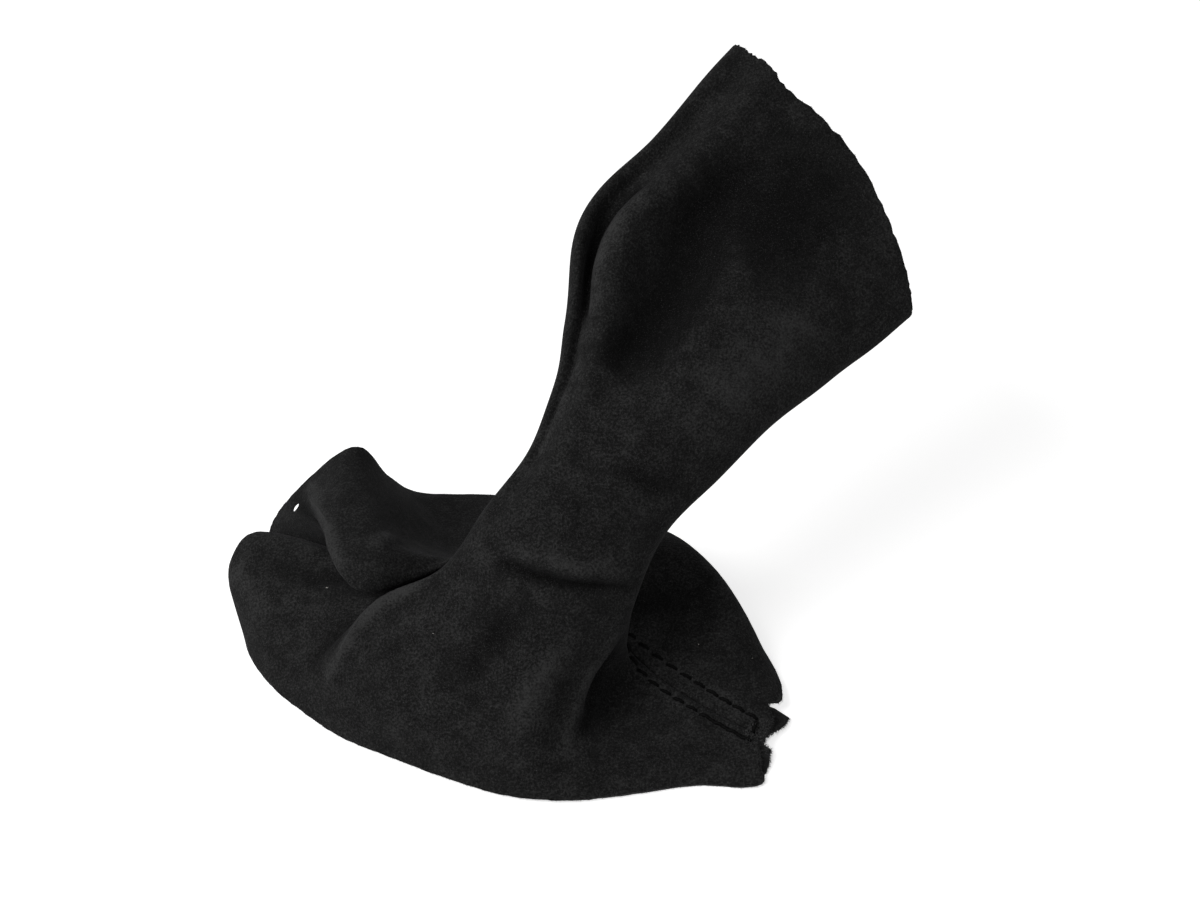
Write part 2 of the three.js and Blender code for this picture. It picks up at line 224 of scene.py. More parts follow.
def beside_line(places, line):
    """How far each place is from the line, and how far along the line that is, from 0 to 1."""
    start, step = line[:-1], line[1:] - line[:-1]
    share = ((places[:, None] - start) * step).sum(2) / (step**2).sum(1)
    share = np.clip(share, 0, 1)
    away = np.linalg.norm(places[:, None] - start - share[:, :, None] * step, axis=2)
    nearest = away.argmin(axis=1)
    here = np.arange(len(places))
    return away[here, nearest], (nearest + share[here, nearest]) / len(step)


def wrinkle_depth(u, v, place):
    """How far the wrinkles raise each place, or sink it where the number is below nought."""
    depth = np.zeros(len(u))
    for deep, wide, *path in WRINKLES:
        path_u, path_v = path_places(path)
        reach = wide / SHORTEST_WAY
        near = (u > path_u.min() - reach) & (u < path_u.max() + reach)
        near &= (v > path_v.min() - reach) & (v < path_v.max() + reach)
        if near.any():
            away, along = beside_line(place[near], smooth_sheet(path_u, path_v))
            fade = np.sin(np.pi * along) ** FADE
            depth[near] -= deep * fade * np.exp(-((away / wide) ** 2))
    return depth


SLOW_WAVE = 0.16
QUICK_WAVE = 0.1


def rumple(place):
    """Slow, shallow waves all over, as in suede that was folded in a bag. Their lengths, in
    millimetres, share no common measure, so that they never repeat."""
    x, y, z = place.T
    waves = np.sin(x / 9.1 + 1.3 * np.sin(y / 13.7) + z / 17.3)
    waves = waves + np.sin(y / 7.9 + 1.7 * np.sin(z / 11.9) - x / 19.1)
    return SLOW_WAVE * waves + QUICK_WAVE * np.sin(z / 5.3 + 2.1 * np.sin(x / 15.1) + y / 8.3)


def round_share(v):
    """The share of the way round for each millimetre beside the seam."""
    ahead, behind = (smooth_sheet(np.full(len(v), step), v) for step in (STEP, -STEP))
    return 2 * STEP / np.linalg.norm(ahead - behind, axis=1)


SEAM_POINTS = 300
SEAM_V = np.linspace(0, 1, SEAM_POINTS)
SEAM_SHARE = round_share(SEAM_V)
seam_line = smooth_sheet(np.zeros(len(SEAM_V)), SEAM_V)
seam_steps = np.linalg.norm(np.diff(seam_line, axis=0), axis=1)
SEAM_LENGTH = seam_steps.sum()
SEAM_TO_HEM = SEAM_LENGTH - np.concatenate([[0], np.cumsum(seam_steps)])


def from_seam(u, v):
    """Millimetres round from the seam, below nought on the seam's upper side."""
    return ((u + 0.5) % 1 - 0.5) / np.interp(v, SEAM_V, SEAM_SHARE)


ROW_SINK, ROW_SINK_WIDTH = 0.3, 0.9
PUCKER, PUCKER_WIDTH = 0.17, 2.2
PADDING, PADDING_EDGE = 0.5, 0.8  # by the allowance that lies under the panel


def seam_lift(u, v):
    """The rows of stitches pull the suede down, and it puckers up between their holes."""
    aside = from_seam(u, v)
    from_row = np.abs(aside) - ROW_TO_SEAM
    to_hem = np.interp(v, SEAM_V, SEAM_TO_HEM)
    between_holes = np.cos(2 * np.pi * (to_hem - STITCH_END) / STITCH_PITCH)
    sink = -ROW_SINK * np.exp(-((from_row / ROW_SINK_WIDTH) ** 2))
    pucker = -PUCKER * between_holes * np.exp(-((from_row / PUCKER_WIDTH) ** 2))
    padded = PADDING / (1 + np.exp((np.abs(aside) - ALLOWANCE_WIDTH) / PADDING_EDGE))
    return sink + pucker + padded


def suede_sheet(u, v):
    """The suede's middle with its wrinkles."""
    place = smooth_sheet(u, v)
    lift = wrinkle_depth(u % 1, v, place) + rumple(place) + seam_lift(u, v)
    return place + normal_on(smooth_sheet, u, v) * lift[:, None]


def raised(u, v, height):
    """Places at a height over the suede's middle."""
    return suede_sheet(u, v) + normal_on(suede_sheet, u, v) * np.asarray(height).reshape(-1, 1)


def hem_share(u=0.0):
    """The share of the way down for each millimetre next to the hem."""
    ends = smooth_sheet(np.full(2, u), np.array([1 - 2 * STEP, 1]))
    return 2 * STEP / np.linalg.norm(ends[1] - ends[0])


# In cross-section the panel is a ribbon that starts at one allowance's cut edge, turns round at
# the seam, runs right round the gaiter and ends at the other allowance's cut edge.
COLUMNS = 206
ROWS = 176
BESIDE_SEAM = (2.1, 2.7, 3.3, 4, 4.4, 5, 5.8, 7, 8.4, 9.8, 11, 12, 13, 14.2)  # finer columns
HALF = SUEDE_THICKNESS / 2
TURN_RADIUS = (SUEDE_THICKNESS + TURNED_GAP) / 2
TURN_START = SEAM_GAP / 2 + TURN_RADIUS + HALF  # from the seam to where the suede turns under
TURN_STEPS = np.radians(np.arange(180, 0, -22.5))
TAB_PAST_HEM = 5 * np.array([1, 0.9, 0.72, 0.45, 0.1])  # a pointed corner that pokes out
STRIP_PAST_HEM = 1.5 * np.array([-0.6, 0.1, 0.9, 1.6, 1.9])  # the other allowance's edge
ALLOWANCE_FLARE = 0.42  # how much wider the allowances are at the hem
FLARE_ROWS = 6


def turned_edge(side, past):
    """Distance from the seam, height, facing up, facing out, and how far past the hem."""
    reach = np.linspace(ALLOWANCE_WIDTH, TURN_START, len(past))
    flat = [(side * far, -2 * TURN_RADIUS, -1, 0, over) for far, over in zip(reach, past)]
    turn = [
        (
            side * (TURN_START - TURN_RADIUS * math.sin(angle)),
            TURN_RADIUS * (math.cos(angle) - 1),
            math.cos(angle),
            -side * math.sin(angle),
            0,
        )
        for angle in TURN_STEPS
    ]
    return flat + turn + [(side * TURN_START, 0, 1, 0, 0)]


strip = turned_edge(1, STRIP_PAST_HEM)
tab = turned_edge(-1, TAB_PAST_HEM)[::-1]
row_v = np.linspace(0, 1, ROWS + 1)
share_round = np.interp(row_v, SEAM_V, SEAM_SHARE)
hem_step = hem_share()

# What the knife took away, in millimetres: beside the seam at the hem, and at both edges.
NOTCH_START, NOTCH_END, NOTCH_DEPTH = 9.3, 13.4, 4.6
CORNER_START, CORNER_END, CORNER_DEPTH = 0.5, 14, 2.6
HEM_WOBBLE, RIM_WOBBLE = 0.16, 0.22
RIM_DIP, RIM_DIP_FOLD, RIM_DIP_FOLDS = 1.9, 7.6, 0.65
EDGE_POWER = 24  # how soon a cut's pull fades away from its edge


def step_up(distance, softness):
    """A soft step from 0 to 1."""
    return 1 / (1 + np.exp(-distance / softness))


def wobble(u):
    """The knife's unsteadiness."""
    turn = 2 * np.pi * u
    return np.sin(61 * turn) * np.sin(17 * turn + 1) + 0.6 * np.sin(143 * turn + 2)


def hem_trim(u, v):
    """What is cut away at the hem. A notch bares the tab's corner on the seam's upper side, and
    on its lower side the panel ends short of the allowance's edge."""
    aside = from_seam(u, v)
    notch = NOTCH_DEPTH * step_up(aside + NOTCH_END, 0.6) * step_up(-aside - NOTCH_START, 0.6)
    corner = CORNER_DEPTH * step_up(aside - CORNER_START, 0.4) * step_up(CORNER_END - aside, 0.6)
    return notch + corner + HEM_WOBBLE * wobble(u)


def rim_trim(u):
    """What is cut away at the mouth, whose rim dips beside its upper corner."""
    dip = RIM_DIP * np.exp(-(((u * len(FOLDS) - RIM_DIP_FOLD) / RIM_DIP_FOLDS) ** 2))
    return dip + RIM_WOBBLE * (1 + wobble(u))


def ribbon_row(row, face):
    """The ribbon's nodes at one row, on its outer face at 1 or its inner face at -1."""
    v, per_mm = row_v[row], share_round[row]
    u, down, height = [], [], []

    def turned(nodes):
        flare = 1 + ALLOWANCE_FLARE * math.exp((row - ROWS) / FLARE_ROWS)
        for far, rise, up, out, past in nodes:
            reach = far * flare if up == -1 else far
            u.append((reach + face * HALF * out) * per_mm)
            down.append(v + (past * hem_step if row == ROWS else 0))
            height.append(rise + face * HALF * up)

    beside = np.array(BESIDE_SEAM) * per_mm
    across = np.concatenate([beside, np.linspace(beside[-1], 1 - beside[-1], COLUMNS)[1:-1]])
    across = np.concatenate([across, 1 - beside[::-1]])
    turned(strip)
    u.extend(across)
    hem_cut = hem_trim(across, np.full(len(across), v)) * hem_step * v**EDGE_POWER
    rim_cut = rim_trim(across) * hem_step * (1 - v) ** EDGE_POWER
    down.extend(v - hem_cut + rim_cut)
    height.extend([face * HALF] * len(across))
    turned(tab)
    return np.array([u, down, height])


WEAR_AND_SHADE_HEIGHT = 2.2  # ridges this high are palest, grooves this deep darkest
# A painted highlight along each row of stitches: how pale it is, and its half-width.
SEAM_HIGHLIGHT, SEAM_HIGHLIGHT_WIDTH = 0.5, 1.8


def ribbon_face(face):
    """Places on one face of the ribbon, and its wear and painted shade, from -1 in a groove to 1."""
    rows = [ribbon_row(row, face) for row in range(ROWS + 1)]
    u, v, height = (np.concatenate([row[axis] for row in rows]) for axis in range(3))
    # Painted shade: grooves darker, ridges paler, partly for rubbed nap and partly as painted
    # highlight.
    wear_and_painted_shade = wrinkle_depth(u % 1, v, smooth_sheet(u, v)) / WEAR_AND_SHADE_HEIGHT
    # Painted highlight: a pale band along both rows of stitches.
    from_row = np.abs(from_seam(u, v)) - ROW_TO_SEAM
    wear_and_painted_shade = wear_and_painted_shade + SEAM_HIGHLIGHT * np.exp(-((from_row / SEAM_HIGHLIGHT_WIDTH) ** 2))
    wear_and_painted_shade = np.clip(wear_and_painted_shade, -1, 1).reshape(ROWS + 1, -1)
    return raised(u, v, height).reshape(ROWS + 1, -1, 3), wear_and_painted_shade


(outer, outer_wear_and_shade), (inner, inner_wear_and_shade) = ribbon_face(1), ribbon_face(-1)
wide = outer.shape[1]


def loft_faces(rows, count):
    """Quads between loops of points that follow each other, with the first and last loop open."""
    here = np.arange(rows * count).reshape(rows, count)
    beside = np.roll(here, -1, axis=1)
    quads = np.stack([here[:-1], here[1:], beside[1:], beside[:-1]], axis=-1)
    return quads.reshape(-1, 4)


loops = np.concatenate([inner, outer[:, ::-1]], axis=1)
quads = loft_faces(ROWS + 1, 2 * wide)
edge = np.arange(wide - 1)
mouth_end = np.stack([edge, edge + 1, 2 * wide - 2 - edge, 2 * wide - 1 - edge], axis=-1)
hem_end = (mouth_end + ROWS * 2 * wide)[:, ::-1]
rims = np.concatenate([mouth_end, hem_end])
NAP, FLESH, CUT = range(3)
finish_round = np.full(2 * wide, NAP)
finish_round[:wide] = FLESH
finish_round[[wide - 1, 2 * wide - 1]] = CUT
finish = np.concatenate([np.tile(finish_round, ROWS), np.full(len(rims), CUT)])
panel_mesh = bpy.data.meshes.new("suede_panel")
places = (loops.reshape(-1, 3) * MM).tolist()
panel_mesh.from_pydata(places, [], np.concatenate([quads, rims]).tolist())
panel_mesh.polygons.foreach_set("material_index", finish)
# The wear and painted shade, kept on the points for the suede's colour.
wear_and_shade_layer = panel_mesh.attributes.new("wear_and_painted_shade", "FLOAT", "POINT")
loops_wear_and_shade = np.concatenate([inner_wear_and_shade, outer_wear_and_shade[:, ::-1]], axis=1)
wear_and_shade_layer.data.foreach_set("value", loops_wear_and_shade.ravel())


def linear(hex_colour):
    """An sRGB colour as the linear one that a shader wants."""
    levels = [int(hex_colour[i : i + 2], 16) / 255 for i in (1, 3, 5)]
    return [x / 12.92 if x < 0.04045 else ((x + 0.055) / 1.055) ** 2.4 for x in levels] + [1]


def add(tree, kind, settings=(), inputs=()):
    """A node with its settings, whose inputs are values or other nodes' sockets."""
    node = tree.nodes.new(kind)
    for name, value in dict(settings).items():
        setattr(node, name, value)
    for name, value in dict(inputs).items():
        if isinstance(value, bpy.types.NodeSocket):
            tree.links.new(value, node.inputs[name])
        else:
            node.inputs[name].default_value = value
    return node


def per_metre(millimetres):
    """The noise scale whose features are about that size."""
    return 1 / (millimetres * MM)


# Dyed leather with a raised nap. The nap swallows light, so it looks nearly black and has no
# gloss. Where it was brushed the other way it is paler, and fibre ends show as small flecks.
# Ridges are painted paler, partly for rubbed nap and partly as a painted highlight, and grooves
# darker as painted shade. Its fibres are about 0.1 mm thick, too fine to show, so tufts of
# 0.7 mm or more stand for them.
SHEEN, EDGE_SHEEN = 0.08, 0.2  # the grey bloom of stray fibres that are seen at a slant
PATCH_WEIGHT, TUFT_WEIGHT, WEAR_AND_SHADE_WEIGHT = 0.33, 0.7, 0.22
DEEP_AT, MIDDLE_AT, PALEST_AT = 0.31, 0.5, 0.71
FLECKS_FROM, FLECKS_FULL, FLECK_STRENGTH = 0.62, 0.78, 0.8
FINEST = 2.6  # how much finer the fibre ends are than the tufts
NAP_HEIGHT = 0.3
FINE_RELIEF = 0.5  # how high the fibre ends stand against the tufts


def suede(name, shades, nap, patch, fleck, sheen):
    """Suede with its deep, middle and palest shades, the sizes of its tufts and of its brushed
    patches, the shade of its flecks, and its sheen."""
    deep, middle, palest_shade = shades
    material = bpy.data.materials.new(name)
    material.use_nodes = True
    tree = material.node_tree
    tree.nodes.clear()
    place = add(tree, "ShaderNodeTexCoord").outputs["Object"]
    noises = []
    for size, detail in ((patch, 3), (nap, 2), (nap / FINEST, 1)):
        sizes = {"Vector": place, "Scale": per_metre(size), "Detail": detail, "Roughness": 0.6}
        noises.append(add(tree, "ShaderNodeTexNoise", {}, sizes).outputs["Fac"])
    brushed, tufts, fibres = noises
    # Painted shade and highlight: the attribute darkens grooves and lightens ridges and stitch rows.
    wear_and_shade_fac = add(tree, "ShaderNodeAttribute", {"attribute_name": "wear_and_painted_shade"}).outputs["Fac"]
    weighted_wear_and_shade = add(tree, "ShaderNodeMath", {"operation": "MULTIPLY"}, {0: wear_and_shade_fac, 1: WEAR_AND_SHADE_WEIGHT})
    tufts_in = {0: tufts, 1: TUFT_WEIGHT, 2: weighted_wear_and_shade.outputs[0]}
    tufted = add(tree, "ShaderNodeMath", {"operation": "MULTIPLY_ADD"}, tufts_in)
    patches_in = {0: brushed, 1: PATCH_WEIGHT, 2: tufted.outputs[0]}
    mottle = add(tree, "ShaderNodeMath", {"operation": "MULTIPLY_ADD"}, patches_in)
    shade = add(tree, "ShaderNodeValToRGB", {}, {0: mottle.outputs[0]})
    stops = shade.color_ramp.elements
    stops[0].position, stops[0].color = DEEP_AT, linear(deep)
    stops[1].position, stops[1].color = PALEST_AT, linear(palest_shade)
    stops.new(MIDDLE_AT).color = linear(middle)
    flecks_in = {0: fibres, 1: FLECKS_FROM, 2: FLECKS_FULL, 3: 0, 4: FLECK_STRENGTH}
    speck = add(tree, "ShaderNodeMapRange", {}, flecks_in)
    mixed = {0: speck.outputs[0], 6: shade.outputs[0], 7: linear(fleck)}
    colour = add(tree, "ShaderNodeMix", {"data_type": "RGBA"}, mixed)
    pile_in = {0: fibres, 1: FINE_RELIEF, 2: tufts}
    pile = add(tree, "ShaderNodeMath", {"operation": "MULTIPLY_ADD"}, pile_in)
    relief = {"Height": pile.outputs[0], "Distance": NAP_HEIGHT * MM}
    bump = add(tree, "ShaderNodeBump", {}, relief)
    shader = add(
        tree,
        "ShaderNodeBsdfPrincipled",
        {},
        {
            "Base Color": colour.outputs[2],
            "Roughness": 0.95,
            "Specular IOR Level": 0.15,
            "Sheen Weight": sheen,
            "Sheen Roughness": 0.45,
            "Sheen Tint": linear("#8c8c90"),
            "Normal": bump.outputs[0],
        },
    )
    add(tree, "ShaderNodeOutputMaterial", {}, {"Surface": shader.outputs[0]})
    return material


# The napped side, outside, is the deepest black and the most mottled. The flesh side is more
# even, with coarser tufts. The cut edge is the palest, because the dye hardly reached it.
nap_shades = ("#020202", "#141414", "#303030")
flesh_shades = ("#080808", "#171717", "#262626")
edge_shades = ("#161616", "#303030", "#525252")
nap_side = suede("split suede, napped side", nap_shades, 0.7, 7, "#4a4a4a", SHEEN)
flesh_side = suede("split suede, flesh side", flesh_shades, 1.4, 9, "#3a3a3a", SHEEN)
cut_edge = suede("split suede, cut edge", edge_shades, 0.7, 3, "#787878", EDGE_SHEEN)
for material in (nap_side, flesh_side, cut_edge):
    panel_mesh.materials.append(material)

# The hole is punched square to the suede, in the wave of the hem, for a peg of the trim frame.
HOLE_FOLD = 14.8
HOLE_TO_HEM = 8
HOLE_DIAMETER = 4
HOLE_SIDES = 40

hole_u = np.array([HOLE_FOLD / len(FOLDS)])
hole_v = np.array([1 - HOLE_TO_HEM * hem_share(hole_u[0])])
hole_normal = Vector(normal_on(smooth_sheet, hole_u, hole_v)[0])
hole_middle = Vector(suede_sheet(hole_u, hole_v)[0] * MM)
hole_turn = hole_normal.to_track_quat("Z", "Y").to_matrix().to_4x4()
punch_mesh = bpy.data.meshes.new("punch")
punch = bmesh.new()
bmesh.ops.create_cone(
    punch,
    cap_ends=True,
    segments=HOLE_SIDES,
    radius1=HOLE_DIAMETER / 2 * MM,
    radius2=HOLE_DIAMETER / 2 * MM,
    depth=4 * SUEDE_THICKNESS * MM,
    matrix=Matrix.Translation(hole_middle) @ hole_turn,
)
punch.to_mesh(punch_mesh)
punch.free()
punch_mesh.materials.append(cut_edge)
punch_object = bpy.data.objects.new("punch", punch_mesh)
bpy.context.collection.objects.link(punch_object)


def plain_mesh(holder):
    """The object's evaluated mesh, with the object itself removed."""
    graph = bpy.context.evaluated_depsgraph_get()
    mesh = bpy.data.meshes.new_from_object(holder.evaluated_get(graph))
    bpy.data.objects.remove(holder)
    return mesh


def place_piece(name, mesh):
    """The mesh as an object in the scene."""
    piece = bpy.data.objects.new(name, mesh)
    bpy.context.collection.objects.link(piece)
    return piece


uncut = place_piece("uncut", panel_mesh)
cut = uncut.modifiers.new("hole", "BOOLEAN")
cut.object = punch_object
cut.operation = "DIFFERENCE"
cut.solver = "EXACT"
cut.material_mode = "TRANSFER"
panel = place_piece("suede_panel", plain_mesh(uncut))
bpy.data.objects.remove(punch_object)
panel.data.polygons.foreach_set("use_smooth", [True] * len(panel.data.polygons))
panel.data.set_sharp_from_angle(angle=math.radians(50))
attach(panel, "root")
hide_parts("gaiter_panel")

# Frayed fibres
# Suede isn't hemmed. Where the knife cut it, at the mouth and at the hem, short leather fibres
# stand out of the cut edge. They are longer at the seam's end, where they also work loose.

FIBRE_LENGTH, FIBRE_THICKNESS, FIBRES_PER_MM2 = 0.7, 0.09, 6
LOOSE_LENGTH, LOOSE_THICKNESS, LOOSE_PER_MM2 = 1, 0.15, 2.5
LOOSE_REACH = 7  # from the seam's end
CORNER_FRAY = 1.0  # how much more the edge frays at the seam's end
CORNER_REACH = 16
SHORTEST, LONGEST = 0.4, 1.3  # as shares of the length
FIBRE_LEAN, LOOSE_LEAN = (1.0, 1.0, 3.1), (1.5, 1.5, 3.1)  # at most, in radians


def new_tree(name, inputs):
    """An empty tree with a geometry in and out, and these named inputs."""
    tree = bpy.data.node_groups.new(name, "GeometryNodeTree")
    tree.interface.new_socket("Geometry", in_out="INPUT", socket_type="NodeSocketGeometry")
    for title, kind in inputs.items():
        tree.interface.new_socket(title, in_out="INPUT", socket_type="NodeSocket" + kind)
    tree.interface.new_socket("Geometry", in_out="OUTPUT", socket_type="NodeSocketGeometry")
    return tree, add(tree, "NodeGroupInput").outputs


def finish_tree(tree, instances, material):
    """The end of every tree: real meshes of one material."""
    real = add(tree, "GeometryNodeRealizeInstances", {}, {0: instances})
    dyed = add(tree, "GeometryNodeSetMaterial", {}, {0: real.outputs[0], "Material": material})
    add(tree, "NodeGroupOutput", {}, {0: dyed.outputs[0]})


def made_by(tree, name, start_mesh, sizes):
    """The piece that the tree makes from a mesh, as a plain mesh."""
    holder = place_piece(name + "_start", start_mesh)
    modifier = holder.modifiers.new("make", "NODES")
    modifier.node_group = tree
    for item in tree.interface.items_tree:
        if item.name in sizes:
            modifier[item.identifier] = sizes[item.name]
    return place_piece(name, plain_mesh(holder))


tree, given = new_tree(
    "frayed fibres", {"Density": "Float", "Length": "Float", "Thickness": "Float", "Lean": "Vector"}
)
frayed = add(tree, "GeometryNodeInputNamedAttribute", {"data_type": "FLOAT"}, {"Name": "fray"})
frayed = frayed.outputs[0]
close = add(tree, "ShaderNodeMath", {"operation": "MULTIPLY"}, {0: given["Density"], 1: frayed})
spread = add(
    tree,
    "GeometryNodeDistributePointsOnFaces",
    {},
    {"Mesh": given["Geometry"], "Density": close.outputs[0], "Seed": 3},
)
thin = add(tree, "ShaderNodeMath", {"operation": "MULTIPLY"}, {0: given["Thickness"], 1: 0.5})
fibre = add(
    tree,
    "GeometryNodeMeshCone",
    {},
    {"Vertices": 3, "Radius Top": 0, "Radius Bottom": thin.outputs[0], "Depth": given["Length"]},
)
back = add(tree, "ShaderNodeVectorMath", {"operation": "SCALE"}, {0: given["Lean"], "Scale": -1})
lean = add(
    tree,
    "FunctionNodeRandomValue",
    {"data_type": "FLOAT_VECTOR"},
    {0: back.outputs[0], 1: given["Lean"], "Seed": 5},
)
turn = add(
    tree,
    "FunctionNodeRotateRotation",
    {"rotation_space": "LOCAL"},
    {0: spread.outputs["Rotation"], 1: lean.outputs[0]},
)
grown = add(
    tree,
    "FunctionNodeRandomValue",
    {"data_type": "FLOAT_VECTOR"},
    {0: (1, 1, SHORTEST), 1: (1, 1, LONGEST), "Seed": 7},
)
frayed_size = {0: grown.outputs[0], "Scale": frayed}
longer = add(tree, "ShaderNodeVectorMath", {"operation": "SCALE"}, frayed_size)
bristle = add(
    tree,
    "GeometryNodeInstanceOnPoints",
    {},
    {
        "Points": spread.outputs["Points"],
        "Instance": fibre.outputs["Mesh"],
        "Rotation": turn.outputs[0],
        "Scale": longer.outputs[0],
    },
)
finish_tree(tree, bristle.outputs[0], cut_edge)
seam_end = suede_sheet(np.zeros(1), np.ones(1))
from_end = np.linalg.norm(loops.reshape(-1, 3) - seam_end, axis=1)


def frayed_mesh(name, faces):
    """The faces that fibres stand on, which fray more the nearer they are to the seam's end."""
    mesh = bpy.data.meshes.new(name)
    mesh.from_pydata(places, [], faces.tolist())
    fray = mesh.attributes.new("fray", "FLOAT", "POINT")
    fray.data.foreach_set("value", 1 + CORNER_FRAY * np.exp(-((from_end / CORNER_REACH) ** 2)))
    return mesh


by_seam_end = quads[from_end[quads].max(axis=1) < LOOSE_REACH]
fibres = made_by(
    tree,
    "frayed_edge_fibres",
    frayed_mesh("rims", rims),
    {
        "Density": FIBRES_PER_MM2 / MM**2,
        "Length": FIBRE_LENGTH * MM,
        "Thickness": FIBRE_THICKNESS * MM,
        "Lean": FIBRE_LEAN,
    },
)
loose = made_by(
    tree,
    "loose_seam_end_fibres",
    frayed_mesh("seam_end", by_seam_end),
    {
        "Density": LOOSE_PER_MM2 / MM**2,
        "Length": LOOSE_LENGTH * MM,
        "Thickness": LOOSE_THICKNESS * MM,
        "Lean": LOOSE_LEAN,
    },
)
for frayed_piece in (fibres, loose):
    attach(frayed_piece, "root")

# Threads
# Waxed black polyester thread. The topstitching holds the opened seam flat: its needle thread
# shows on the outside, its bobbin thread inside. A closing seam joins the two edges under it.

# The thread is drawn wider than it is, so that its black also paints the shade of the dark pit that
# it pulls into the nap.
THREAD_AND_SHADE_DIAMETER = 1.2  # with the pit's shade, painted by its black
STITCH_SHOWN = 3.5
CLOSING_PITCH, CLOSING_SHOWN = 3, 2.3
PLY_RIDGE, PLY_GROOVE = 0.54, 0.4  # as shares of the thread's diameter
HOLE_DEPTH, BEND_HEIGHT, BEND_SHARE = 0.5, 0.95, 0.36
BACKTACK = 3  # stitches sewn over again at the end of the lower row
END_ZONE, END_SIZE, BACKTACK_SIZE = 24, 1.06, 1.1  # where the sewer slowed down
CROSS_STITCH, CROSS_SIZE = 1.6, 1.2  # between the rows' ends: how far off the seam it lies

# Three plies of black polyester under a coat of wax, which gives the black a dull edge of
# light. Its filaments are too fine to show, so marks of 0.35 mm stand for them.
FILAMENT, FILAMENT_HEIGHT = 0.35, 0.08

thread_finish = bpy.data.materials.new("waxed polyester thread")
thread_finish.use_nodes = True
tree = thread_finish.node_tree
tree.nodes.clear()
place = add(tree, "ShaderNodeTexCoord").outputs["Object"]
sizes = {"Vector": place, "Scale": per_metre(FILAMENT), "Detail": 2}
plies = add(tree, "ShaderNodeTexNoise", {}, sizes)
shade = add(tree, "ShaderNodeValToRGB", {}, {0: plies.outputs["Fac"]})
shade.color_ramp.elements[0].position = 0.35
shade.color_ramp.elements[0].color = linear("#010101")
shade.color_ramp.elements[1].position = 0.7
shade.color_ramp.elements[1].color = linear("#070707")
relief = {"Height": plies.outputs["Fac"], "Distance": FILAMENT_HEIGHT * MM}
bump = add(tree, "ShaderNodeBump", {}, relief)
waxed = {"Roughness": 0.75, "Specular IOR Level": 0.12, "Normal": bump.outputs[0]}
waxed["Base Color"] = shade.outputs[0]
shader = add(tree, "ShaderNodeBsdfPrincipled", {}, waxed)
add(tree, "ShaderNodeOutputMaterial", {}, {"Surface": shader.outputs[0]})


def stitch_tree(name, material):
    """One twisted length of thread that dips into the suede at both ends, put on every point."""
    kinds = {"Hole": "Vector", "Bend": "Vector", "Thickness": "Float", "Ply turns": "Float"}
    tree, given = new_tree(name, kinds)
    mirror = {1: (-1, 1, 1)}
    first, leave = (
        add(tree, "ShaderNodeVectorMath", {"operation": "MULTIPLY"}, {0: given[end], **mirror})
        for end in ("Hole", "Bend")
    )
    middle = add(
        tree,
        "GeometryNodeCurvePrimitiveBezierSegment",
        {},
        {
            "Resolution": 9,
            "Start": first.outputs[0],
            "Start Handle": leave.outputs[0],
            "End Handle": given["Bend"],
            "End": given["Hole"],
        },
    )
    along = add(tree, "GeometryNodeSplineParameter").outputs["Factor"]
    whole = {0: given["Ply turns"], 1: math.tau}
    turns = add(tree, "ShaderNodeMath", {"operation": "MULTIPLY"}, whole)
    tilt = add(tree, "ShaderNodeMath", {"operation": "MULTIPLY"}, {0: along, 1: turns.outputs[0]})
    twisted = add(
        tree, "GeometryNodeSetCurveTilt", {}, {"Curve": middle.outputs[0], "Tilt": tilt.outputs[0]}
    )
    ridge, groove = (
        add(tree, "ShaderNodeMath", {"operation": "MULTIPLY"}, {0: given["Thickness"], 1: share})
        for share in (PLY_RIDGE, PLY_GROOVE)
    )
    plies = add(
        tree,
        "GeometryNodeCurveStar",
        {},
        {"Points": 3, "Inner Radius": groove.outputs[0], "Outer Radius": ridge.outputs[0]},
    )
    thread = add(
        tree,
        "GeometryNodeCurveToMesh",
        {},
        {"Curve": twisted.outputs[0], "Profile Curve": plies.outputs[0], "Fill Caps": True},
    )
    smooth = add(tree, "GeometryNodeSetShadeSmooth", {}, {0: thread.outputs[0]})
    marks = [
        add(tree, "GeometryNodeInputNamedAttribute", {"data_type": "FLOAT_VECTOR"}, {"Name": mark})
        for mark in ("along", "up", "size")
    ]
    turned = add(
        tree,
        "FunctionNodeAxesToRotation",
        {"primary_axis": "X", "secondary_axis": "Z"},
        {0: marks[0].outputs[0], 1: marks[1].outputs[0]},
    )
    copies = add(
        tree,
        "GeometryNodeInstanceOnPoints",
        {},
        {
            "Points": given["Geometry"],
            "Instance": smooth.outputs[0],
            "Rotation": turned.outputs[0],
            "Scale": marks[2].outputs[0],
        },
    )
    finish_tree(tree, copies.outputs[0], material)
    return tree


def marks_mesh(name, middles, along, up, size):
    """Points that say where each stitch lies, which way it runs and how big it is."""
    mesh = bpy.data.meshes.new(name)
    mesh.from_pydata((middles * MM).tolist(), [], [])
    for title, values in (("along", along), ("up", up), ("size", np.outer(size, (1, 1, 1)))):
        layer = mesh.attributes.new(title, "FLOAT_VECTOR", "POINT")
        layer.data.foreach_set("vector", np.ravel(values))
    return mesh


def row_marks(aside, pitch, first=STITCH_END):
    """The stitches of a row: how far beside the seam, how far from the hem, whether they run
    across it, and size."""
    count = round((SEAM_LENGTH - STITCH_END - first) / pitch)
    middles = first + pitch * (np.arange(count) + 0.5)
    return [(aside, middle, 0, END_SIZE if middle < END_ZONE else 1) for middle in middles]


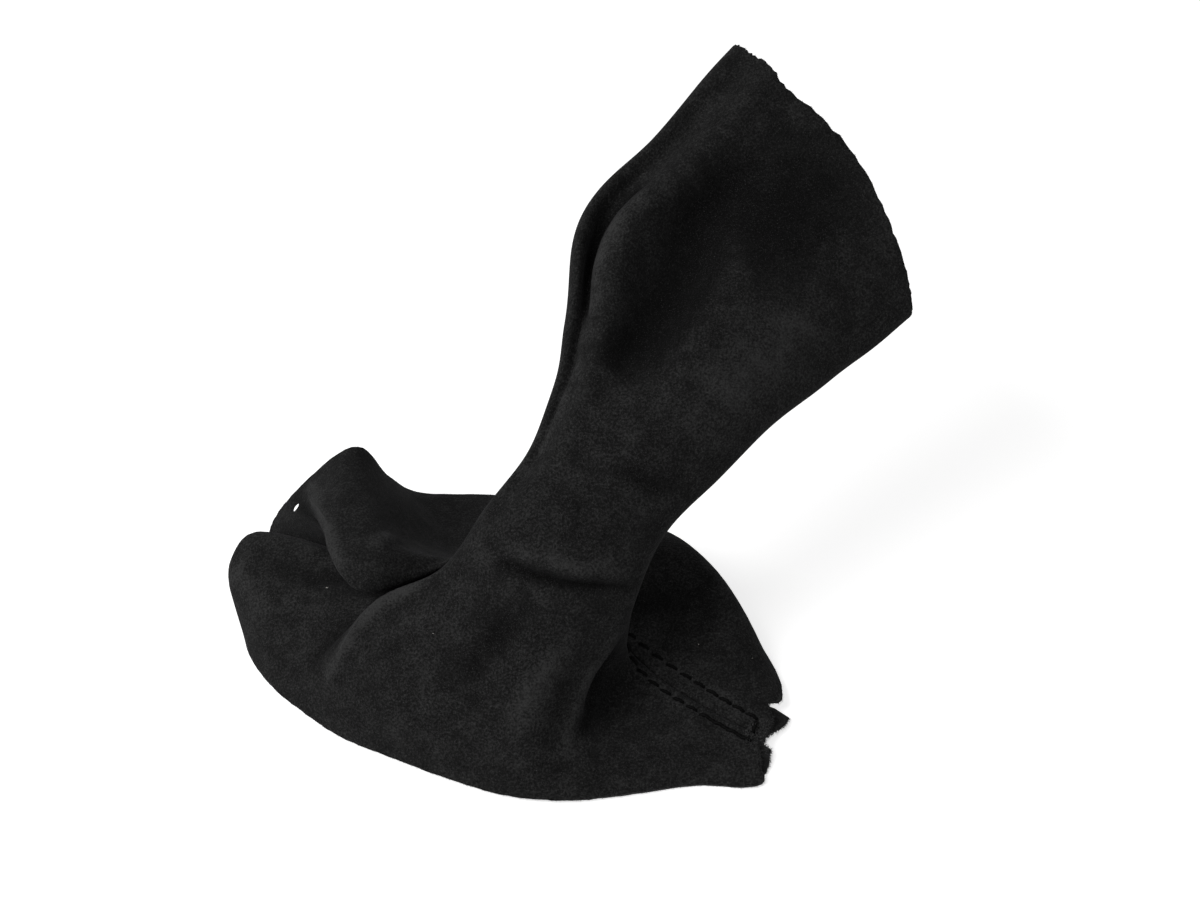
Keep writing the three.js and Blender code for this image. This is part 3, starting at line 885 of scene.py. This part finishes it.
def sew(name, tree, marks, height, side, shown, rides_for):
    """Stitches at a height over the suede's middle, on its outer side at 1 or inner at -1."""
    aside, to_hem, across, size = np.array(marks, float).T
    v = np.interp(to_hem, SEAM_TO_HEM[::-1], SEAM_V[::-1])
    u = aside * np.interp(v, SEAM_V, SEAM_SHARE)
    around, down = across * STEP, (1 - across) * STEP
    along = raised(u + around, v + down, height) - raised(u - around, v - down, height)
    up = side * normal_on(smooth_sheet, u, v)
    points = marks_mesh(name, raised(u, v, height), along, up, size)
    sizes = {
        "Hole": (shown / 2 * MM, 0, -HOLE_DEPTH * MM),
        "Bend": (shown * BEND_SHARE * MM, 0, BEND_HEIGHT * MM),
        "Thickness": THREAD_AND_SHADE_DIAMETER * MM,
        "Ply turns": 1.0,
    }
    piece = made_by(tree, name, points, sizes)
    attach(piece, "root")
    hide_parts(rides_for)


stitches = stitch_tree("lockstitches", thread_finish)
upper_row = row_marks(-ROW_TO_SEAM, STITCH_PITCH)
lower_row = row_marks(ROW_TO_SEAM, STITCH_PITCH)
backtack = [
    (ROW_TO_SEAM, STITCH_END + STITCH_PITCH * (i + 1), 0, BACKTACK_SIZE) for i in range(BACKTACK)
]
needle_marks = upper_row + lower_row + backtack + [(-CROSS_STITCH, STITCH_END, 1, CROSS_SIZE)]
bobbin_marks = upper_row + lower_row + [(CROSS_STITCH, STITCH_END, 1, CROSS_SIZE)]
closing_marks = row_marks(0, CLOSING_PITCH, STITCH_END + 2)
inside = -2 * TURN_RADIUS - HALF
sew("needle_stitches", stitches, needle_marks, HALF, 1, STITCH_SHOWN, "topstitch_needle_thread")
sew("bobbin_stitches", stitches, bobbin_marks, inside, -1, STITCH_SHOWN, "topstitch_bobbin_thread")
sew("closing_stitches", stitches, closing_marks, inside, -1, CLOSING_SHOWN, "closing_seam_thread")

# Lint
# A few pale specks of cotton fluff that have caught in the nap. Each is a bent scrap of fibre
# that lies loose on the suede.

LINT = [(11.17, 8.0), (7.41, 7.75), (22.96, 8.58), (22.8, 9.33)]  # folds round, rings down
LINT_SIZES = np.array([0.75, 0.35, 0.4, 0.3])
LINT_THICKNESS = 0.35
LINT_OVER_NAP = 0.05

# Undyed cotton, pale and without gloss, so that each scrap shows as a dot on the black.
fluff = bpy.data.materials.new("pale cotton fluff")
fluff.use_nodes = True
shader = fluff.node_tree.nodes["Principled BSDF"]
shader.inputs["Base Color"].default_value = linear("#c9c6c0")
shader.inputs["Roughness"].default_value = 0.9
lint_u, lint_v = np.array(LINT).T / ((len(FOLDS),), (len(RINGS) - 1,))
lint_up = normal_on(smooth_sheet, lint_u, lint_v)
lint_along = unit(np.cross(lint_up, (0.3, 1, 0.2)))
lint_places = raised(lint_u, lint_v, HALF + LINT_OVER_NAP)
lint_points = marks_mesh("lint", lint_places, lint_along, lint_up, LINT_SIZES)
lint_sizes = {
    "Hole": (0.4 * MM, 0, 0),
    "Bend": (0.2 * MM, 0.4 * MM, 0.3 * MM),
    "Thickness": LINT_THICKNESS * MM,
    "Ply turns": 0.0,
}
lint = made_by(stitch_tree("fluff", fluff), "lint_specks", lint_points, lint_sizes)
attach(lint, "root")

# White studio table
# A sheet of white paper on a table, under two soft lamps. It shows white where it is lit, and
# keeps the gaiter's soft shadow. Nothing here is metal or glass, so only the camera sees it glow.

FLOOR_HALF = 4
PAPER_GLOW = 0.68
WORLD_FILL = 0.22

floor_mesh = bpy.data.meshes.new("floor")
corners = [(x * FLOOR_HALF, y * FLOOR_HALF, 0) for x, y in ((-1, -1), (1, -1), (1, 1), (-1, 1))]
floor_mesh.from_pydata(corners, [], [(0, 1, 2, 3)])
floor = place_piece("floor", floor_mesh)
# Matt paper, which scatters light evenly and has no gloss.
ground = bpy.data.materials.new("white paper")
ground.use_nodes = True
tree = ground.node_tree
tree.nodes.clear()
seen = add(tree, "ShaderNodeLightPath").outputs["Is Camera Ray"]
paper = add(tree, "ShaderNodeBsdfDiffuse", {}, {"Color": linear("#e6e6e6")})
glow = add(tree, "ShaderNodeEmission", {}, {"Color": linear("#ffffff")})
strength = add(tree, "ShaderNodeMath", {"operation": "MULTIPLY"}, {0: seen, 1: PAPER_GLOW})
tree.links.new(strength.outputs[0], glow.inputs["Strength"])
both = add(tree, "ShaderNodeAddShader", {}, {0: paper.outputs[0], 1: glow.outputs[0]})
add(tree, "ShaderNodeOutputMaterial", {}, {"Surface": both.outputs[0]})
floor_mesh.materials.append(ground)

world = bpy.data.worlds.new("studio")
bpy.context.scene.world = world
world.use_nodes = True
tree = world.node_tree
tree.nodes.clear()
seen = add(tree, "ShaderNodeLightPath").outputs["Is Camera Ray"]
level = add(tree, "ShaderNodeMapRange", {}, {0: seen, 3: WORLD_FILL, 4: 1.0})
white = {"Color": linear("#ffffff"), "Strength": level.outputs[0]}
sky = add(tree, "ShaderNodeBackground", {}, white)
add(tree, "ShaderNodeOutputWorld", {}, {"Surface": sky.outputs[0]})


def soft_lamp(name, width, watts, place, aim):
    """A square lamp, with its width, its place and the point it is aimed at in metres."""
    data = bpy.data.lights.new(name, "AREA")
    data.size = width
    data.energy = watts
    lamp = bpy.data.objects.new(name, data)
    lamp.location = place
    lamp.rotation_euler = (Vector(aim) - Vector(place)).to_track_quat("-Z", "Y").to_euler()
    bpy.context.collection.objects.link(lamp)


soft_lamp("left softbox", 0.7, 9.8, (-0.75, -0.3, 0.85), (0, 0, 0.05))
soft_lamp("front fill", 1.0, 2.5, (0.3, -1.0, 0.8), (0, 0, 0.05))

# Camera
# It looks down at 40 degrees, square to the front hem, as the photograph was taken. The point
# that it looks at and its distance are in millimetres.

ELEVATION = math.radians(40)
LOOK_AT = np.array([10.74, 8.37, 53.98])
AWAY = 556
camera_data = bpy.data.cameras.new("camera")
camera_data.lens = 50
camera_data.sensor_width = 36
camera = bpy.data.objects.new("camera", camera_data)
bpy.context.collection.objects.link(camera)
eye = LOOK_AT + AWAY * np.array([0, -math.cos(ELEVATION), math.sin(ELEVATION)])
camera.location = eye * MM
camera.rotation_euler = (math.radians(90) - ELEVATION, 0, 0)
bpy.context.scene.camera = camera
bpy.context.scene.view_settings.view_transform = "Standard"
